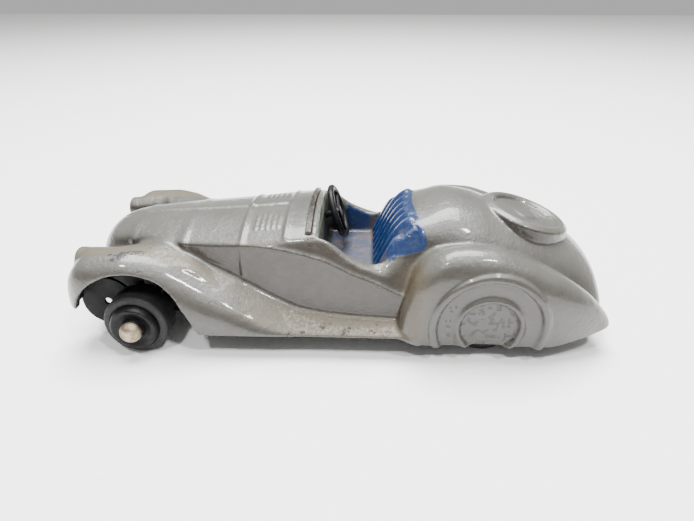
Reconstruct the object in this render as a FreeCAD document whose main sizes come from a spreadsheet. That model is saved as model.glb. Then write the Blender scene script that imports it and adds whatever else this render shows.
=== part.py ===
"""Diecast open two-seat sports roadster, about 1:48.

The nose points towards -X, the car's left side towards -Y and the roof of the sky towards +Z.
The origin is on the ground, midway along the length and on the centre plane. All sizes are in mm.
"""
import FreeCAD, Part
import math
import os

from FreeCAD import Placement, Rotation, Vector

PARTS_FOLDER = "parts"
X_AXIS, Y_AXIS, Z_AXIS = Vector(1, 0, 0), Vector(0, 1, 0), Vector(0, 0, 1)
LEFT, RIGHT = -1, 1

# Driving dimensions: alias, value, meaning.
SIZES = [
    ("half_length", 41.0, "half the overall length"),
    ("half_width", 16.0, "half the width over the wings and spats"),
    ("sill_z", 3.7, "underside of the sills and running boards"),
    ("wall", 1.4, "wall thickness of the casting"),
    ("dash_x", -3.1, "face of the dash"),
    ("scuttle_z", 18.95, "top of the scuttle"),
    ("deck_z", 20.8, "top of the rear deck"),
    ("wing_crest_z", 15.6, "top of the front wings"),
    ("wing_inner_y", 9.5, "inner side of the front wings"),
    ("fender_crest_z", 17.4, "top of the rear wings"),
    ("fender_inner_y", 9.0, "inner side of the rear wings"),
    ("spat_bottom_z", 2.7, "lower edge of the rear wheel spats"),
    ("spat_inner_y", 14.7, "inner face of the rear wheel spats"),
    ("spat_ring_z", 6.2, "centre height of the rings on the spats"),
    ("spat_ring_outer", 8.6, "radius of the outer ring on the spats"),
    ("spat_ring_inner", 4.5, "radius of the inner ring on the spats"),
    ("ring_bead", 0.35, "bead radius of the spat rings"),
    ("front_axle_x", -30.2, "front axle position"),
    ("rear_axle_x", 21.7, "rear axle position"),
    ("wheel_radius", 4.8, "tyre outside radius and axle height"),
    ("tyre_width", 4.4, "tyre width"),
    ("tyre_shoulder", 0.6, "corner radius of the tyre"),
    ("rim_radius", 3.35, "hub radius under the tyre"),
    ("hub_depth", 2.2, "hub from its centre plane to its inner face"),
    ("hub_bulge", 3.5, "hub from its centre plane to its outer face"),
    ("hub_ridge", 2.9, "radius of the raised ring on the hub"),
    ("axle_radius", 0.95, "axle radius"),
    ("running_gap", 0.05, "radial clearance on the axles"),
    ("axle_head", 1.6, "radius of the domed axle ends"),
    ("head_height", 1.3, "height of the front axle ends"),
    ("rear_head_height", 0.5, "height of the rear axle ends behind the spats"),
    ("front_track", 13.0, "half the front track"),
    ("rear_track", 10.5, "half the rear track"),
    ("front_arch_radius", 8.4, "front wheel arch"),
    ("front_arch_x", -30.6, "centre of the front wheel arch"),
    ("front_arch_z", 5.0, "centre height of the front wheel arch"),
    ("rear_well_radius", 6.2, "rear wheel well"),
    ("well_inner_y", 8.3, "inner side of the wheel wells"),
    ("plate_z", 2.9, "underside of the baseplate"),
    ("plate_gauge", 0.5, "thickness of the baseplate"),
    ("plate_half_width", 8.1, "half the baseplate's width"),
    ("lug_inner_y", 7.5, "inner face of the axle lugs"),
    ("lug_radius", 1.9, "rounded top of the axle lugs"),
    ("stay_x", -36.05, "centre of the front stay discs"),
    ("stay_z", 5.95, "centre height of the front stay discs"),
    ("stay_radius", 4.1, "radius of the front stay discs"),
    ("stay_y", 10.45, "outer face of the front stay discs"),
    ("stay_hole", 0.6, "hole in the front stay discs"),
    ("stay_room", 0.35, "room around the front stay discs"),
    ("arm_inner_y", 5.0, "inner end of the arms of the front stays"),
    ("post_radius", 2.2, "casting posts that hold the baseplate"),
    ("spigot_radius", 1.0, "spigot of a post through the baseplate"),
    ("cockpit_half_width", 9.3, "half the width inside the cockpit"),
    ("floor_z", 9.4, "cockpit floor"),
    ("seat_rib_radius", 1.1, "half-round ribs of the seat back"),
    ("spare_x", 29.0, "centre of the spare wheel cover"),
    ("spare_z", 17.8, "height of the spare wheel cover's centre"),
    ("spare_radius", 7.0, "radius of the spare wheel cover"),
    ("spare_slope", 16.5, "slope of the spare wheel cover in degrees"),
    ("lamp_radius", 1.9, "headlamp radius"),
    ("lamp_x", -39.0, "front of the headlamps"),
    ("lamp_y", 10.0, "headlamps from the centre plane"),
    ("lamp_z", 13.1, "centre height of the headlamps"),
    ("screen_x", -4.9, "front face of the windscreen strip"),
    ("screen_radius", 27.0, "arch radius of the windscreen strip"),
    ("screen_gauge", 0.7, "thickness of the windscreen strip"),
    ("screen_half_width", 9.0, "half the width of the windscreen strip"),
    ("screen_proud", 0.45, "windscreen strip above the scuttle"),
    ("screen_depth", 0.8, "slot for the windscreen strip"),
    ("wheel_rim", 4.1, "steering wheel ring radius"),
    ("rim_bead", 0.55, "steering wheel bead radius"),
    ("steer_x", -0.9, "steering wheel centre"),
    ("steer_y", 4.4, "steering wheel from the centre plane"),
    ("steer_z", 15.4, "steering wheel centre height"),
    ("steer_rake", 18.0, "steering wheel lean from upright in degrees"),
]

doc = FreeCAD.newDocument("roadster")
sheet = doc.addObject("Spreadsheet::Sheet", "sizes")
for row, (alias, value, meaning) in enumerate(SIZES, start=1):
    sheet.set(f"A{row}", meaning)
    sheet.set(f"B{row}", str(value))
    sheet.setAlias(f"B{row}", alias)
doc.recompute()


def size(alias):
    """The sheet's value for an alias."""
    return float(sheet.get(alias))


def bind(item, **expressions):
    """Bind properties of an object to expressions on the sheet's aliases."""
    for name, expression in expressions.items():
        for alias, _, _ in sorted(SIZES, key=lambda entry: -len(entry[0])):
            expression = expression.replace(f"<{alias}>", f"sizes.{alias}")
        item.setExpression(name.replace("__", "."), expression)
    return item


def primitive(kind, name, **expressions):
    """A Part primitive with its sizes bound to the sheet."""
    return bind(doc.addObject(f"Part::{kind}", name), **expressions)


def placed(item, base=(0, 0, 0), axis=Z_AXIS, degrees=0.0):
    """Give an object its place."""
    item.Placement = Placement(Vector(*base), Rotation(axis, degrees))
    return item


def fuse(name, items):
    """Join objects into one solid."""
    joined = doc.addObject("Part::MultiFuse", name)
    joined.Shapes = items
    return joined


def boolean(kind, name, base, tool):
    """A Part::Cut or Part::Common of two objects."""
    result = doc.addObject(f"Part::{kind}", name)
    result.Base = base
    result.Tool = tool
    return result


def mirrored(name, source):
    """The same piece on the car's right side."""
    copy = doc.addObject("Part::Mirroring", name)
    copy.Source = source
    copy.Normal = Y_AXIS
    return copy


def new_sketch(body, role, edges, offset=0.0):
    """A sketch on one of the body's own origin planes, moved along the plane's normal."""
    sketch = body.newObject("Sketcher::SketchObject", f"{body.Name}_sketch")
    plane = next(item for item in body.Origin.OriginFeatures if item.Role == role)
    sketch.AttachmentSupport = [(plane, "")]
    sketch.MapMode = "FlatFace"
    sketch.AttachmentOffset = Placement(Vector(0, 0, offset), Rotation())
    sketch.addGeometry(edges, False)
    return sketch


def spline(points):
    """A smooth curve through points."""
    curve = Part.BSplineCurve()
    curve.interpolate([Vector(first, second, 0) for first, second in points])
    return curve


def lines(points):
    """Straight edges from point to point."""
    corners = [Vector(first, second, 0) for first, second in points]
    return [Part.LineSegment(start, end) for start, end in zip(corners, corners[1:])]


def closed_profile(curve_points, corner_points):
    """A smooth curve closed by straight edges through the corner points."""
    closing = [curve_points[-1]] + corner_points + [curve_points[0]]
    return [spline(curve_points)] + lines(closing)


def polygon(points):
    """A closed outline of straight edges."""
    return lines(points + [points[0]])


def pad(name, role, edges, length, start=0.0):
    """A sketch padded along its plane's normal, from start over length (an expression or number)."""
    body = doc.addObject("PartDesign::Body", name)
    sketch = new_sketch(body, role, edges, start)
    feature = body.newObject("PartDesign::Pad", f"{name}_pad")
    feature.Profile = sketch
    if isinstance(length, str):
        bind(feature, Length=length)
    else:
        feature.Length = length
    body.Tip = feature
    return body


def revolve(name, edges):
    """A sketch in the XY plane, turned about its vertical axis."""
    body = doc.addObject("PartDesign::Body", name)
    sketch = new_sketch(body, "XY_Plane", edges)
    feature = body.newObject("PartDesign::Revolution", f"{name}_turned")
    feature.Profile = sketch
    feature.ReferenceAxis = (sketch, ["V_Axis"])
    feature.Angle = 360
    body.Tip = feature
    return body


def hull_section(half_width, floor, crown, roundness):
    """A superellipse arch from side to side, closed by a straight floor."""
    count = 20
    arch = []
    for step in range(count + 1):
        angle = math.pi * step / count
        across = math.copysign(abs(math.cos(angle)) ** (2 / roundness), math.cos(angle))
        up = math.sin(angle) ** (2 / roundness) if 0 < step < count else 0.0
        arch.append((half_width * across, floor + (crown - floor) * up))
    return closed_profile(arch, [])


def hull_stations():
    """Stations from nose to tail: x, half width, crown height, roundness (2 is round, more is squarer)."""
    scuttle, deck = size("scuttle_z"), size("deck_z")
    return [
        (-40.4, 3.4, 9.0, 2.4),
        (-39.4, 4.4, 11.2, 2.4),
        (-37.6, 5.2, 14.2, 2.5),
        (-34.2, 6.2, 16.3, 2.8),
        (-23.0, 8.9, scuttle - 1.65, 4.2),
        (-14.0, 10.0, scuttle - 0.95, 4.8),
        (-3.5, 11.2, scuttle, 5.0),
        (6.0, 12.0, scuttle + 0.1, 4.6),
        (11.0, 12.0, deck - 1.2, 4.0),
        (16.6, 11.8, deck, 3.6),
        (23.0, 11.4, deck - 1.5, 3.2),
        (30.0, 10.9, deck - 4.1, 3.0),
        (36.0, 10.2, deck - 7.8, 2.8),
        (39.0, 9.6, 9.9, 2.7),
        (size("half_length"), 9.0, 6.4, 2.6),
    ]


def hull_loft(name, inset, floor, first_x, last_x):
    """A loft through the hull stations, drawn in by inset."""
    body = doc.addObject("PartDesign::Body", name)
    sections = []
    for x, half_width, crown, roundness in hull_stations():
        station_x = min(max(x, first_x), last_x)
        edges = hull_section(half_width - inset, floor, crown - inset, roundness)
        sections.append(new_sketch(body, "YZ_Plane", edges, station_x))
    feature = body.newObject("PartDesign::AdditiveLoft", f"{name}_loft")
    feature.Profile = sections[0]
    feature.Sections = sections[1:]
    body.Tip = feature
    return body


# --- Body casting ---------------------------------------------------------------------------

half_length, half_width = size("half_length"), size("half_width")
sill_z, wall = size("sill_z"), size("wall")
front_axle_x, rear_axle_x = size("front_axle_x"), size("rear_axle_x")
axle_z = size("wheel_radius")
crest, fender_crest = size("wing_crest_z"), size("fender_crest_z")
dash_x, floor_z = size("dash_x"), size("floor_z")
plate_top = size("plate_z") + size("plate_gauge")


def front_wing():
    """The front wing and the running board behind it, on the left side."""
    board_z = sill_z + 1.4
    ridge = [
        (-half_length, 7.4), (-40.5, 10.0), (-38.2, 13.8), (-34.5, crest - 0.2), (-30.5, crest),
        (-25.4, crest - 1.0), (-19.0, 10.3), (-12.5, 6.4), (-5.0, board_z + 0.1), (10.0, board_z),
    ]
    corners = [(10.0, sill_z), (-30.0, sill_z), (-38.4, 6.8), (-40.6, 6.8)]
    depth = "<half_width> - <wing_inner_y>"
    return pad("front_wing", "XZ_Plane", closed_profile(ridge, corners), depth, size("wing_inner_y"))


def rear_wing():
    """The rear wing with its wheel spat, on the left side."""
    ridge = [
        (8.8, sill_z), (9.7, 8.2), (12.0, 14.0), (18.5, fender_crest), (25.0, fender_crest - 1.4),
        (31.5, 13.4), (36.5, 9.6), (half_length, 5.4),
    ]
    spat_bottom = size("spat_bottom_z")
    corners = [(half_length, 4.4), (34.0, spat_bottom), (12.0, spat_bottom)]
    depth = "<half_width> - <fender_inner_y>"
    return pad("rear_wing", "XZ_Plane", closed_profile(ridge, corners), depth, size("fender_inner_y"))


def valance():
    """The web between the front wing and the bonnet, on the left side."""
    outline = [(-38.6, 10.6), (-36.5, 13.0), (-30.0, 14.0), (-20.0, 13.6), (-20.0, 9.6), (-37.2, 9.6)]
    return pad("valance", "XZ_Plane", polygon(outline), 6.0, 4.6)


def headlamp():
    """A headlamp faired into the web, on the left side."""
    place = (size("lamp_x"), -size("lamp_y"), size("lamp_z"))
    barrel = primitive("Cylinder", "lamp_barrel", Radius="<lamp_radius>", Height="3 * <lamp_radius>")
    placed(barrel, place, Y_AXIS, 90)
    tail = primitive("Sphere", "lamp_tail", Radius="<lamp_radius>")
    placed(tail, (place[0] + 3 * size("lamp_radius"), place[1], place[2]))
    return [barrel, tail]


def spat_ring(name, radius_alias):
    """A raised ring on the left spat, ended at the spat's lower edge."""
    ring = primitive("Torus", f"{name}_torus", Radius1=f"<{radius_alias}>", Radius2="<ring_bead>")
    placed(ring, (rear_axle_x, -half_width + 0.1, size("spat_ring_z")), X_AXIS, 90)
    keep = primitive("Box", f"{name}_keep", Length="4 * <spat_ring_outer>", Width="2", Height="20")
    placed(keep, (rear_axle_x - 2 * size("spat_ring_outer"), -half_width - 1, size("spat_bottom_z")))
    return boolean("Common", name, ring, keep)


def outer_envelope():
    """The plan view and the front view of the whole casting, as one solid that trims the wings."""
    front_curve = [(-half_length, 9.0), (-40.2, 12.6), (-37.6, 15.2), (-32.0, half_width)]
    rear_curve = [(27.0, half_width), (33.0, 15.4), (38.0, 13.7), (half_length, 11.6)]
    side = [spline(front_curve)] + lines([front_curve[-1], rear_curve[0]]) + [spline(rear_curve)]
    other = [spline([(x, -y) for x, y in front_curve])]
    other += lines([(front_curve[-1][0], -half_width), (rear_curve[0][0], -half_width)])
    other += [spline([(x, -y) for x, y in rear_curve])]
    ends = lines([(half_length, 11.6), (half_length, -11.6)])
    ends += lines([(-half_length, 9.0), (-half_length, -9.0)])
    plan = pad("plan_envelope", "XY_Plane", side + other + ends, 30.0)

    drop = [(0.0, 9.0), (0.5, 12.4), (1.9, 15.6), (4.4, 18.2)]
    shoulder = [(half_width - inward, z) for inward, z in drop]
    right = [spline(shoulder)]
    left = [spline([(-y, z) for y, z in shoulder])]
    closing = lines([(half_width, 9.0), (half_width, 0.0), (-half_width, 0.0), (-half_width, 9.0)])
    top = lines([(11.6, 18.2), (11.6, 26.0), (-11.6, 26.0), (-11.6, 18.2)])
    front = pad("front_envelope", "YZ_Plane", right + left + closing + top, "2 * <half_length>", -half_length)
    return boolean("Common", "outer_envelope", plan, front)


def cockpit():
    """The open cockpit: the well between the seat and the dash, and the cut-down doors."""
    seat_foot, seat_top = (5.2, floor_z), (9.2, 17.4)
    well = polygon([(dash_x, 30.0), (dash_x, floor_z), seat_foot, seat_top, (10.6, 19.3), (10.9, 30.0)])
    room = pad("cockpit_room", "XZ_Plane", well, "2 * <cockpit_half_width>", -size("cockpit_half_width"))
    door_edge = [
        (dash_x, 17.9), (-1.2, 16.2), (1.0, 14.3), (4.2, 12.8), (7.4, 12.2), (10.0, 13.2), (12.4, 16.4),
        (13.4, 23.0),
    ]
    doors = []
    for side, start in ((LEFT, size("cockpit_half_width") - 0.4), (RIGHT, -20.0)):
        edges = closed_profile(door_edge, [(13.4, 30.0), (dash_x, 30.0)])
        doors.append(pad(f"door_{side + 1}", "XZ_Plane", edges, 20.4 - size("cockpit_half_width"), start))
    return [room] + doors


def seat_ribs():
    """The upright half-round ribs of the bench seat's back."""
    ribs = []
    lean = math.degrees(math.atan2(9.2 - 5.2, 17.4 - floor_z))
    for index in range(8):
        rib = primitive("Cylinder", f"seat_rib_{index}", Radius="<seat_rib_radius>", Height="8.8")
        ribs.append(placed(rib, (5.5, (index - 3.5) * 2.3, floor_z - 0.3), Y_AXIS, lean))
    return ribs


def cavity():
    """The hollow under the casting, leaving the walls, the cockpit tub and two posts."""
    hollow = hull_loft("hollow", wall, 0.0, -38.6, 39.4)
    tub = primitive("Box", "tub", Length="17.4", Width="2 * (<cockpit_half_width> + <wall>)", Height="30")
    placed(tub, (dash_x - wall, -size("cockpit_half_width") - wall, floor_z - wall))
    keep = [tub]
    for name, x in (("front_post", -17.0), ("rear_post", 33.0)):
        post = primitive("Cylinder", name, Radius="<post_radius>", Height="30")
        keep.append(placed(post, (x, 0, plate_top)))
        spigot = primitive("Cylinder", f"{name}_spigot", Radius="<spigot_radius>", Height="30")
        keep.append(placed(spigot, (x, 0, size("plate_z"))))
    return boolean("Cut", "cavity", hollow, fuse("kept_inside", keep))


def wheel_wells(side, name):
    """The room around a front wheel and a rear wheel."""
    inner, spat_inner = size("well_inner_y"), size("spat_inner_y")
    front = primitive("Cylinder", f"{name}_front_well", Radius="<front_arch_radius>", Height="20")
    rear = primitive("Cylinder", f"{name}_rear_well", Radius="<rear_well_radius>",
                     Height="<spat_inner_y> - <well_inner_y>")
    below = primitive("Box", f"{name}_rear_open", Length="2 * <rear_well_radius>",
                      Width="<spat_inner_y> - <well_inner_y>", Height="<wheel_radius>")
    start = -inner if side == LEFT else inner + 20
    placed(front, (size("front_arch_x"), start, size("front_arch_z")), X_AXIS, 90)
    start = -inner if side == LEFT else spat_inner
    placed(rear, (rear_axle_x, start, axle_z), X_AXIS, 90)
    corner = -spat_inner if side == LEFT else inner
    placed(below, (rear_axle_x - size("rear_well_radius"), corner, 0))
    return [front, rear, below]


def stay_room(side, name):
    """The room for a front stay inside the tip of a front wing."""
    inner, outer = size("wing_inner_y"), size("stay_y") + size("stay_room")
    start = -inner if side == LEFT else outer
    disc = primitive("Cylinder", f"{name}_stay_room", Radius="<stay_radius> + <stay_room>",
                     Height="<stay_y> + <stay_room> - <wing_inner_y>")
    placed(disc, (size("stay_x"), start, size("stay_z")), X_AXIS, 90)
    below = primitive("Box", f"{name}_tip_room", Length="6", Width="<stay_y> + <stay_room> - <well_inner_y>",
                      Height="8.6")
    placed(below, (-half_length - 1, -outer if side == LEFT else size("well_inner_y"), 0))
    return [disc, below]


def axle_slot():
    """The slot that lets the front axle and its lugs through the sides of the nose."""
    slot = primitive("Box", "axle_slot", Length="2 * <lug_radius> + 0.8", Width="2 * <wing_inner_y>",
                     Height="<wheel_radius> + <lug_radius> + 0.4")
    return placed(slot, (front_axle_x - size("lug_radius") - 0.4, -size("wing_inner_y"), 0))


def screen_strip(name, gap):
    """The arched strip across the scuttle, grown by gap."""
    centre_z = size("scuttle_z") - size("screen_radius")
    outer_radius = size("screen_radius") + size("screen_proud")
    inner_radius = size("screen_radius") - size("screen_depth")
    half = size("screen_half_width")
    bevel = outer_radius * math.sqrt(1 - (half / outer_radius) ** 2)
    outer_arc = Part.Arc(Vector(-half, centre_z + bevel, 0), Vector(0, centre_z + outer_radius, 0),
                         Vector(half, centre_z + bevel, 0))
    drop = inner_radius * math.sqrt(1 - (half / inner_radius) ** 2)
    inner_arc = Part.Arc(Vector(-half, centre_z + drop - gap, 0), Vector(0, centre_z + inner_radius - gap, 0),
                         Vector(half, centre_z + drop - gap, 0))
    sides = []
    for edge_y in (-half, half):
        sides += lines([(edge_y, centre_z + bevel), (edge_y, centre_z + drop - gap)])
    start = size("screen_x") - gap
    return pad(name, "YZ_Plane", [outer_arc, inner_arc] + sides, size("screen_gauge") + 2 * gap, start)


def body_casting():
    """The whole zinc casting: hull, wings, spats, lamps, tub and posts in one piece."""
    spare = primitive("Cylinder", "spare_cover", Radius="<spare_radius>", Height="3.2")
    slope = math.radians(size("spare_slope"))
    placed(spare, (size("spare_x") - 3.2 * math.sin(slope), 0, size("spare_z") - 3.2 * math.cos(slope)),
           Y_AXIS, size("spare_slope"))
    left = fuse("left_side", [front_wing(), rear_wing(), valance()] + headlamp())
    right = mirrored("right_side", left)
    rings = [spat_ring("outer_ring", "spat_ring_outer"), spat_ring("inner_ring", "spat_ring_inner")]
    rings += [mirrored(f"right_{ring.Name}", ring) for ring in rings]
    hull = hull_loft("hull", 0.0, sill_z, -40.4, half_length)
    whole = fuse("whole", [hull, left, right, spare])
    trimmed = boolean("Common", "trimmed", whole, outer_envelope())
    wells = wheel_wells(LEFT, "left") + wheel_wells(RIGHT, "right")
    wells += stay_room(LEFT, "left") + stay_room(RIGHT, "right")
    room = fuse("room", [cavity(), axle_slot()] + wells + cockpit() + [screen_strip("screen_slot", 0.02)])
    steering_hole = primitive("Cylinder", "column_hole", Radius="0.65", Height="3")
    placed(steering_hole, column_end(3.6), Y_AXIS, 90 - size("steer_rake"))
    open_body = boolean("Cut", "open_body", trimmed, fuse("all_room", [room, steering_hole]))
    casting = fuse("with_ribs", [open_body] + seat_ribs())
    for ring in rings:
        casting = fuse(f"with_{ring.Name}", [casting, ring])
    return casting


def column_end(length):
    """The point at length down the steering column from the steering wheel's centre."""
    rake = math.radians(size("steer_rake"))
    forward, down = length * math.cos(rake), length * math.sin(rake)
    return (size("steer_x") - forward, size("steer_y"), size("steer_z") - down)


# --- Baseplate ------------------------------------------------------------------------------

def axle_lug(name, axle_x, y):
    """An upturned lug with its axle hole filled in; the hole is drilled later."""
    foot = primitive("Box", f"{name}_foot", Length="2 * <lug_radius>", Width="<plate_gauge>",
                     Height="<wheel_radius> - <plate_z>")
    placed(foot, (axle_x - size("lug_radius"), y, size("plate_z")))
    head = primitive("Cylinder", f"{name}_head", Radius="<lug_radius>", Height="<plate_gauge>")
    placed(head, (axle_x, y + size("plate_gauge"), axle_z), X_AXIS, 90)
    return [foot, head]


def front_stay(side, name):
    """A round stay with an eye in front of a wheel, on an arm of the baseplate."""
    outer_y = side * size("stay_y")
    start = max(outer_y, outer_y - side * size("plate_gauge"))
    disc = primitive("Cylinder", f"{name}_disc", Radius="<stay_radius>", Height="<plate_gauge>")
    placed(disc, (size("stay_x"), start, size("stay_z")), X_AXIS, 90)
    arm = primitive("Box", f"{name}_arm", Length="1.6", Width="<stay_y> - <arm_inner_y>",
                    Height="<plate_gauge>")
    placed(arm, (size("stay_x") - 0.8, outer_y if side == LEFT else size("arm_inner_y"), size("plate_z")))
    return [disc, arm]


def baseplate():
    """The pressed baseplate with four axle lugs, two front stays and two holes for the posts."""
    half = size("plate_half_width")
    outline = polygon([
        (-38.6, -4.2), (-38.6, 4.2), (-37.6, 5.4), (-36.0, 5.8), (-33.0, 6.2), (-31.8, half), (-12.0, half),
        (14.0, half), (34.0, half), (38.2, 6.8), (38.2, -6.8), (34.0, -half), (14.0, -half), (-12.0, -half),
        (-31.8, -half), (-33.0, -6.2), (-36.0, -5.8), (-37.6, -5.4),
    ])
    plate = pad("plate", "XY_Plane", outline, "<plate_gauge>", size("plate_z"))
    pieces = [plate]
    lug_y = size("lug_inner_y")
    for axle_name, axle_x in (("front", front_axle_x), ("rear", rear_axle_x)):
        pieces += axle_lug(f"{axle_name}_left_lug", axle_x, -lug_y - size("plate_gauge"))
        pieces += axle_lug(f"{axle_name}_right_lug", axle_x, lug_y)
    pieces += front_stay(LEFT, "left_stay") + front_stay(RIGHT, "right_stay")
    holes = []
    for axle_name, axle_x in (("front", front_axle_x), ("rear", rear_axle_x)):
        hole = primitive("Cylinder", f"{axle_name}_lug_holes", Radius="<axle_radius> + <running_gap>",
                         Height="40")
        holes.append(placed(hole, (axle_x, 20, axle_z), X_AXIS, 90))
    eyes = primitive("Cylinder", "stay_eyes", Radius="<stay_hole>", Height="40")
    holes.append(placed(eyes, (size("stay_x"), 20, size("stay_z")), X_AXIS, 90))
    for name, x in (("front", -17.0), ("rear", 33.0)):
        rivet = primitive("Cylinder", f"{name}_post_hole", Radius="<spigot_radius> + <running_gap>",
                          Height="10")
        holes.append(placed(rivet, (x, 0, 0)))
    return boolean("Cut", "baseplate", fuse("plate_pieces", pieces), fuse("plate_holes", holes))


# --- Wheels, axles and fittings ---------------------------------------------------------------

def axle(name, axle_x, track, head_alias):
    """A steel axle with a domed end outside each hub."""
    end = track + size("hub_bulge")
    rod = primitive("Cylinder", f"{name}_rod", Radius="<axle_radius>", Height=f"{2 * end + 0.4}")
    placed(rod, (axle_x, end + 0.2, axle_z), X_AXIS, 90)
    pieces = [rod]
    for side in (LEFT, RIGHT):
        radius, height = size("axle_head"), size(head_alias)
        dome = revolve(f"{name}_dome_{side + 1}",
                       [Part.Arc(Vector(radius, 0.25, 0), Vector(radius * 0.75, height * 0.8, 0),
                                 Vector(0.35, height, 0))]
                       + lines([(0.35, height), (0, height), (0, 0), (radius, 0), (radius, 0.25)]))
        pieces.append(placed(dome, (axle_x, side * (end + 0.04), axle_z), Z_AXIS, 90 - 90 * side))
    return fuse(name, pieces)


def hub(name):
    """A turned hub with a raised ring, its outer face towards +Y and its centre plane at y = 0."""
    bore = size("axle_radius") + size("running_gap")
    rim, ridge, boss = size("rim_radius"), size("hub_ridge"), size("axle_head")
    depth, bulge = size("hub_depth"), size("hub_bulge")
    flange, flange_y = rim + 0.25, size("tyre_width") / 2 + 0.1
    dish = (boss + 0.2, bulge - 0.7)
    face = spline([(flange, flange_y), (ridge, bulge - 0.3), (ridge - 0.7, bulge - 0.6), dish])
    outline = lines([
        dish, (boss, bulge), (bore, bulge), (bore, -depth), (rim, -depth), (rim, flange_y - 0.3),
        (flange, flange_y - 0.3), (flange, flange_y),
    ])
    return revolve(name, [face] + outline)


def tyre(name):
    """A smooth tyre with a flat tread and round shoulders, its outer face towards +Y."""
    rim, radius, half = size("rim_radius"), size("wheel_radius"), size("tyre_width") / 2
    corner = size("tyre_shoulder")
    seat, sweep = half - 0.2, corner * math.sqrt(0.5)
    shoulders = []
    for side in (LEFT, RIGHT):
        centre_y = side * (half - corner)
        shoulders.append(Part.Arc(Vector(radius - corner, side * half, 0),
                                  Vector(radius - corner + sweep, centre_y + side * sweep, 0),
                                  Vector(radius, centre_y, 0)))
    tread = lines([(radius, half - corner), (radius, corner - half)])
    faces = lines([
        (radius - corner, -half), (rim, -half), (rim, seat), (rim + 0.35, seat), (rim + 0.45, half),
        (radius - corner, half),
    ])
    return revolve(name, shoulders + tread + faces)


def wheels():
    """Four hubs and four tyres, each in its own node."""
    made = []
    ends = (("front", front_axle_x, size("front_track")), ("rear", rear_axle_x, size("rear_track")))
    for end, axle_x, track in ends:
        for side, side_name in ((LEFT, "left"), (RIGHT, "right")):
            for maker, kind in ((hub, "hub"), (tyre, "tyre")):
                piece = maker(f"{kind}_{end}_{side_name}")
                placed(piece, (axle_x, side * track, axle_z), Z_AXIS, 90 - 90 * side)
                made.append(piece)
    return made


def steering_wheel():
    """The steering wheel: ring, three spokes, boss and column in one moulding."""
    rake = size("steer_rake")
    centre = (size("steer_x"), size("steer_y"), size("steer_z"))
    turned = Rotation(Y_AXIS, 90 - rake)
    ring = primitive("Torus", "steering_ring", Radius1="<wheel_rim>", Radius2="<rim_bead>")
    pieces = [placed(ring, centre, Y_AXIS, 90 - rake)]
    for index in range(3):
        spoke = primitive("Cylinder", f"steering_spoke_{index}", Radius="0.32", Height="<wheel_rim>")
        spread = Rotation(Z_AXIS, 120 * index) * Rotation(Y_AXIS, 90)
        spoke.Placement = Placement(Vector(*centre), turned * spread)
        pieces.append(spoke)
    boss = primitive("Cylinder", "steering_boss", Radius="0.9", Height="0.9")
    pieces.append(placed(boss, column_end(0.45), Y_AXIS, 90 - rake))
    column = primitive("Cylinder", "steering_column", Radius="0.55", Height="3.2")
    pieces.append(placed(column, column_end(3.2), Y_AXIS, 90 - rake))
    return fuse("steering_wheel", pieces)


# --- Assembly, checks and export --------------------------------------------------------------

nodes = {
    "body_casting": body_casting(),
    "baseplate": baseplate(),
    "front_axle": axle("front_axle_rod", front_axle_x, size("front_track"), "head_height"),
    "rear_axle": axle("rear_axle_rod", rear_axle_x, size("rear_track"), "rear_head_height"),
    "steering_wheel": steering_wheel(),
    "windscreen_stub": screen_strip("screen_stub", 0.0),
}
for piece in wheels():
    nodes[piece.Name] = piece
doc.recompute()

for name, node in nodes.items():
    node.Label = name

for item in doc.Objects:
    if {"Invalid", "Error"} & set(item.State):
        raise RuntimeError(f"{item.Label} failed: {item.State}")

os.makedirs(PARTS_FOLDER, exist_ok=True)
for name, node in nodes.items():
    shape = node.Shape
    if shape.isNull() or not shape.isValid():
        raise RuntimeError(f"{name} has no valid shape")
    print(f"{name:18s} solids {len(shape.Solids)} volume {shape.Volume:9.2f}")
    shape.exportStep(os.path.join(PARTS_FOLDER, f"{name}.step"))
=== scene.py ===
import math

import bpy
import numpy as np
from bpy.props import FloatProperty, FloatVectorProperty, IntProperty, PointerProperty
from mathutils import Matrix, Vector


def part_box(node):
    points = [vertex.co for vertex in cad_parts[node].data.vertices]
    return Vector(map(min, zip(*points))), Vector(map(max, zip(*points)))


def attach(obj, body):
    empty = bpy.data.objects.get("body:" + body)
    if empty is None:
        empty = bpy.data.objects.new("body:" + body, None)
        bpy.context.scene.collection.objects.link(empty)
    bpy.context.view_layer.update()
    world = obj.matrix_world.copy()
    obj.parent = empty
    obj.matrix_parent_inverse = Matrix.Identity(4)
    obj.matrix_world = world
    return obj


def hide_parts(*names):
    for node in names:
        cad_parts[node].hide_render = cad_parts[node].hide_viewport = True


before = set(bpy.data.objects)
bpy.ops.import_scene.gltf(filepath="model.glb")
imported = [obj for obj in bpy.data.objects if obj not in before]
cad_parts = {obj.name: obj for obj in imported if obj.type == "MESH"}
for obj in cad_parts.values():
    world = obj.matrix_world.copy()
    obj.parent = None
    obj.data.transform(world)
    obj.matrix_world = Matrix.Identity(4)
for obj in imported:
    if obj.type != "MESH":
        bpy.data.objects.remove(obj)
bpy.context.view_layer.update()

bl_info = {
    "name": "Diecast Roadster Looks",
    "version": (1, 0, 0),
    "blender": (4, 5, 0),
    "location": "3D View > Sidebar > Roadster",
    "description": "Builds the enamelled casting, fittings, finishes and studio of a small diecast roadster",
    "category": "Object",
}

MM = 0.001
FRONT_AXLE_X = (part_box("front_axle")[0].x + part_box("front_axle")[1].x) / 2 / MM
REAR_AXLE_X = (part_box("rear_axle")[0].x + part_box("rear_axle")[1].x) / 2 / MM
TAIL_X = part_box("body_casting")[1].x / MM
SPAT_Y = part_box("body_casting")[1].y / MM
LAMP_Y, LAMP_Z = 10.0, 13.1
WHEEL_ARCH_RADIUS, WHEEL_ARCH_Z = 8.4, 5.0


# --- Curves and fields, in millimetres ---------------------------------------------------------

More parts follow.
